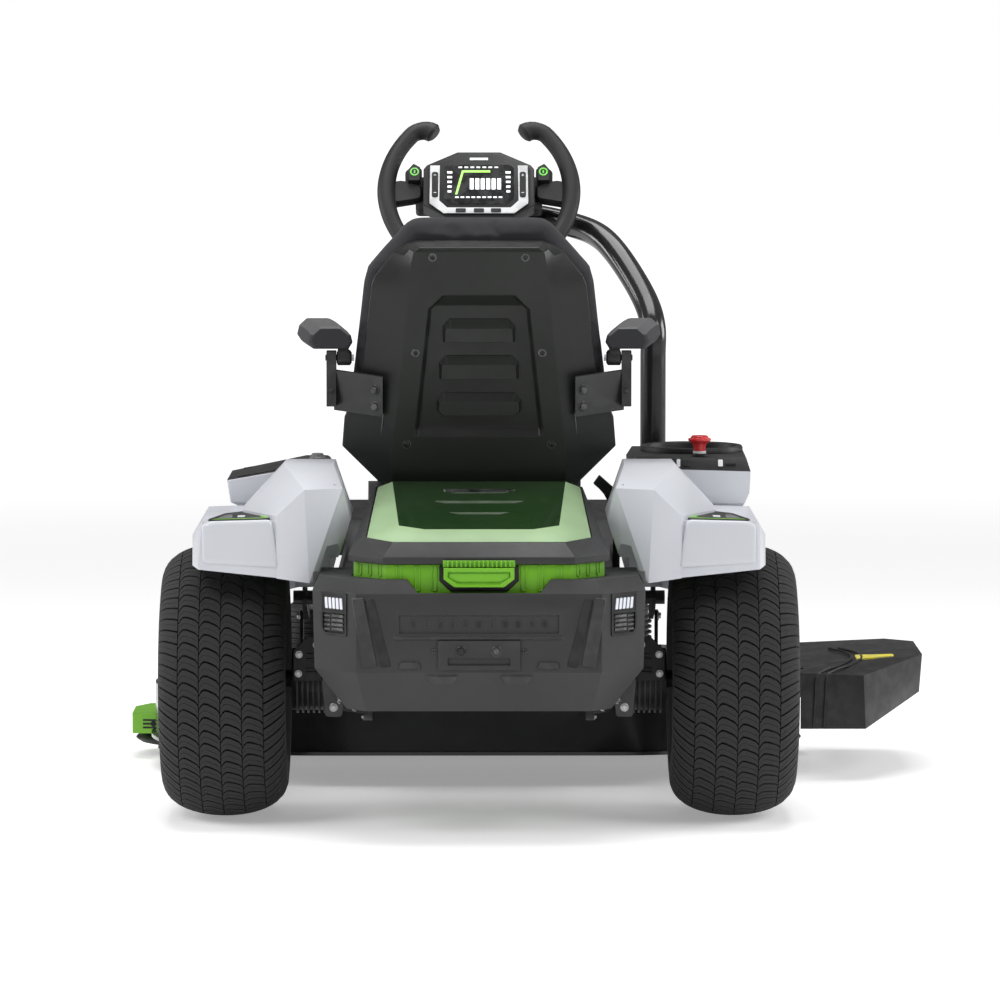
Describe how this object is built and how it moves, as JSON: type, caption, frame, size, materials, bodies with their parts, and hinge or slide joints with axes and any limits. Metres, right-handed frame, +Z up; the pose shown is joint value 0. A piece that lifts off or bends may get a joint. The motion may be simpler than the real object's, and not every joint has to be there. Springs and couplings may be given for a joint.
{
  "type": "zero turn mower",
  "caption": "Electric ride-on zero turn mower with a hanging side-discharge deck, tail battery bay, high-back seat and a yoke wheel on a swing arm.",
  "frame": {"origin": "on the ground at the middle of the machine's footprint", "axes": "+Y forwards, +X to the rider's right, +Z up"},
  "size_m": [1.412, 1.85, 1.144],
  "materials": {
    "black_steel": "gloss black paint",
    "white_panel": "satin off-white",
    "dark_plastic": "fine-grained charcoal",
    "black_plastic": "fine-grained black",
    "green_plastic": "satin lime green",
    "tinted_window": "green tinted clear plastic",
    "tyre_rubber": "matte rubber with turf tread",
    "seat_vinyl": "grained black vinyl",
    "bare_steel": "ground steel",
    "red_plastic": "satin red",
    "lamp_plastic": "smoked lens",
    "screen_housing": "black housing with a lit screen"
  },
  "bodies": {
    "chassis": {"frame": "black_steel", "front_axle_beam": "black_steel", "floor_pan": "black_plastic", "left_fender": "white_panel", "right_fender": "white_panel", "left_console": "black_plastic", "right_console": "white_panel", "cup_holder": "black_plastic", "battery_bay": "green_plastic", "battery_1": "dark_plastic", "battery_2": "dark_plastic", "battery_3": "dark_plastic", "rear_bumper": "dark_plastic", "hitch_plate": "black_steel", "left_tail_light": "lamp_plastic", "right_tail_light": "lamp_plastic", "left_drive_motor": "black_plastic", "right_drive_motor": "black_plastic", "seat_base": "dark_plastic"},
    "left_rear_wheel": {"left_rear_tyre": "tyre_rubber", "left_rear_rim": "black_steel"},
    "right_rear_wheel": {"right_rear_tyre": "tyre_rubber", "right_rear_rim": "black_steel"},
    "left_caster": {"left_caster_fork": "black_steel"},
    "right_caster": {"right_caster_fork": "black_steel"},
    "left_front_wheel": {"left_front_tyre": "tyre_rubber", "left_front_rim": "black_steel"},
    "right_front_wheel": {"right_front_tyre": "tyre_rubber", "right_front_rim": "black_steel"},
    "deck": {"deck_shell": "black_steel", "deck_bumper": "green_plastic", "left_blade_motor": "black_plastic", "right_blade_motor": "black_plastic"},
    "left_cutter": {"left_blade": "bare_steel"},
    "right_cutter": {"right_blade": "bare_steel"},
    "left_disc": {"left_gauge_disc": "black_plastic"},
    "right_disc": {"right_gauge_disc": "black_plastic"},
    "chute": {"discharge_chute": "black_plastic"},
    "lift_gear": {"lift_shaft": "black_steel", "lift_lever": "black_plastic"},
    "drive_treadle": {"drive_pedal": "black_plastic"},
    "brake_treadle": {"brake_pedal": "black_plastic"},
    "seat": {"seat_frame": "black_steel", "seat_cushion": "seat_vinyl", "back_cushion": "seat_vinyl", "back_shell": "dark_plastic", "left_armrest_bracket": "black_steel", "right_armrest_bracket": "black_steel"},
    "left_rest": {"left_armrest": "seat_vinyl"},
    "right_rest": {"right_armrest": "seat_vinyl"},
    "steering_column": {"steering_arm": "black_steel"},
    "yoke": {"steering_wheel": "black_plastic", "display": "screen_housing"},
    "left_button": {"left_reverse_button": "black_plastic"},
    "right_button": {"right_reverse_button": "black_plastic"},
    "knob": {"stop_knob": "red_plastic"},
    "dial": {"speed_dial": "black_plastic"},
    "lid": {"battery_lid": "dark_plastic", "lid_window": "tinted_window"},
    "lid_latch": {"lid_handle": "green_plastic"}
  },
  "joints": [
    {"name": "left_wheel_spin", "type": "hinge", "parent": "chassis", "child": "left_rear_wheel", "pos_m": [-0.504, -0.555, 0.228], "axis": [1, 0, 0], "continuous": true},
    {"name": "left_caster_swivel", "type": "hinge", "parent": "chassis", "child": "left_caster", "pos_m": [-0.511, 0.775, 0.35], "axis": [0, 0, 1], "continuous": true},
    {"name": "left_caster_spin", "type": "hinge", "parent": "left_caster", "child": "left_front_wheel", "pos_m": [-0.511, 0.705, 0.14], "axis": [1, 0, 0], "continuous": true},
    {"name": "right_wheel_spin", "type": "hinge", "parent": "chassis", "child": "right_rear_wheel", "pos_m": [0.342, -0.555, 0.228], "axis": [1, 0, 0], "continuous": true},
    {"name": "right_caster_swivel", "type": "hinge", "parent": "chassis", "child": "right_caster", "pos_m": [0.349, 0.775, 0.35], "axis": [0, 0, 1], "continuous": true},
    {"name": "right_caster_spin", "type": "hinge", "parent": "right_caster", "child": "right_front_wheel", "pos_m": [0.349, 0.705, 0.14], "axis": [1, 0, 0], "continuous": true},
    {"name": "deck_lift", "type": "slide", "parent": "chassis", "child": "deck", "axis": [0, 0, 1], "range_m": [0, 0.075]},
    {"name": "lift_shaft_turn", "type": "hinge", "parent": "chassis", "child": "lift_gear", "pos_m": [-0.081, -0.265, 0.335], "axis": [1, 0, 0], "range_deg": [0, 40]},
    {"name": "left_blade_spin", "type": "hinge", "parent": "deck", "child": "left_cutter", "pos_m": [-0.368, 0.085, 0.075], "axis": [0, 0, 1], "continuous": true},
    {"name": "right_blade_spin", "type": "hinge", "parent": "deck", "child": "right_cutter", "pos_m": [0.166, 0.085, 0.075], "axis": [0, 0, 1], "continuous": true},
    {"name": "left_disc_spin", "type": "hinge", "parent": "deck", "child": "left_disc", "pos_m": [-0.649, 0.215, 0.031], "axis": [0, 0, 1], "continuous": true},
    {"name": "right_disc_spin", "type": "hinge", "parent": "deck", "child": "right_disc", "pos_m": [0.449, 0.215, 0.031], "axis": [0, 0, 1], "continuous": true},
    {"name": "chute_lift", "type": "hinge", "parent": "deck", "child": "chute", "pos_m": [0.472, 0.085, 0.188], "axis": [0, -1, 0], "range_deg": [0, 85]},
    {"name": "drive_pedal_push", "type": "hinge", "parent": "chassis", "child": "drive_treadle", "pos_m": [0.064, 0.695, 0.345], "axis": [-1, 0, 0], "range_deg": [0, 18], "stiffness_Nm_per_rad": 25, "springref_deg": -8.59},
    {"name": "brake_pedal_push", "type": "hinge", "parent": "chassis", "child": "brake_treadle", "pos_m": [-0.246, 0.695, 0.345], "axis": [-1, 0, 0], "range_deg": [0, 18], "stiffness_Nm_per_rad": 25, "springref_deg": -8.59},
    {"name": "seat_slide", "type": "slide", "parent": "chassis", "child": "seat", "axis": [0, 1, 0], "range_m": [0, 0.1]},
    {"name": "left_armrest_fold", "type": "hinge", "parent": "seat", "child": "left_rest", "pos_m": [-0.306, -0.54, 0.765], "axis": [1, 0, 0], "range_deg": [0, 90]},
    {"name": "right_armrest_fold", "type": "hinge", "parent": "seat", "child": "right_rest", "pos_m": [0.144, -0.54, 0.765], "axis": [1, 0, 0], "range_deg": [0, 90]},
    {"name": "steering_arm_tilt", "type": "hinge", "parent": "chassis", "child": "steering_column", "pos_m": [0.223, -0.11, 0.545], "axis": [-1, 0, 0], "range_deg": [0, 35]},
    {"name": "wheel_turn", "type": "hinge", "parent": "steering_column", "child": "yoke", "pos_m": [-0.081, 0.045, 1.025], "axis": [0, 0.866, -0.5], "range_deg": [-90, 90]},
    {"name": "left_reverse_press", "type": "slide", "parent": "yoke", "child": "left_button", "axis": [0, 0.866, -0.5], "range_m": [0, 0.003], "stiffness_N_per_m": 400, "springref_m": -0.002},
    {"name": "right_reverse_press", "type": "slide", "parent": "yoke", "child": "right_button", "axis": [0, 0.866, -0.5], "range_m": [0, 0.003], "stiffness_N_per_m": 400, "springref_m": -0.002},
    {"name": "stop_knob_pull", "type": "slide", "parent": "chassis", "child": "knob", "axis": [0, 0, 1], "range_m": [0, 0.008]},
    {"name": "speed_dial_turn", "type": "hinge", "parent": "chassis", "child": "dial", "pos_m": [-0.359, -0.255, 0.588], "axis": [0, 0, 1], "range_deg": [-135, 135]},
    {"name": "lid_open", "type": "hinge", "parent": "chassis", "child": "lid", "pos_m": [-0.081, -0.549, 0.53], "axis": [-1, 0, 0], "range_deg": [0, 50]},
    {"name": "lid_handle_lift", "type": "hinge", "parent": "lid", "child": "lid_latch", "pos_m": [-0.081, -0.902, 0.449], "axis": [-1, 0, 0], "range_deg": [0, 40]}
  ],
  "couplings": [
    {"joint": "lift_shaft_turn", "follows": "deck_lift", "rad_per_m": 9.099}
  ]
}
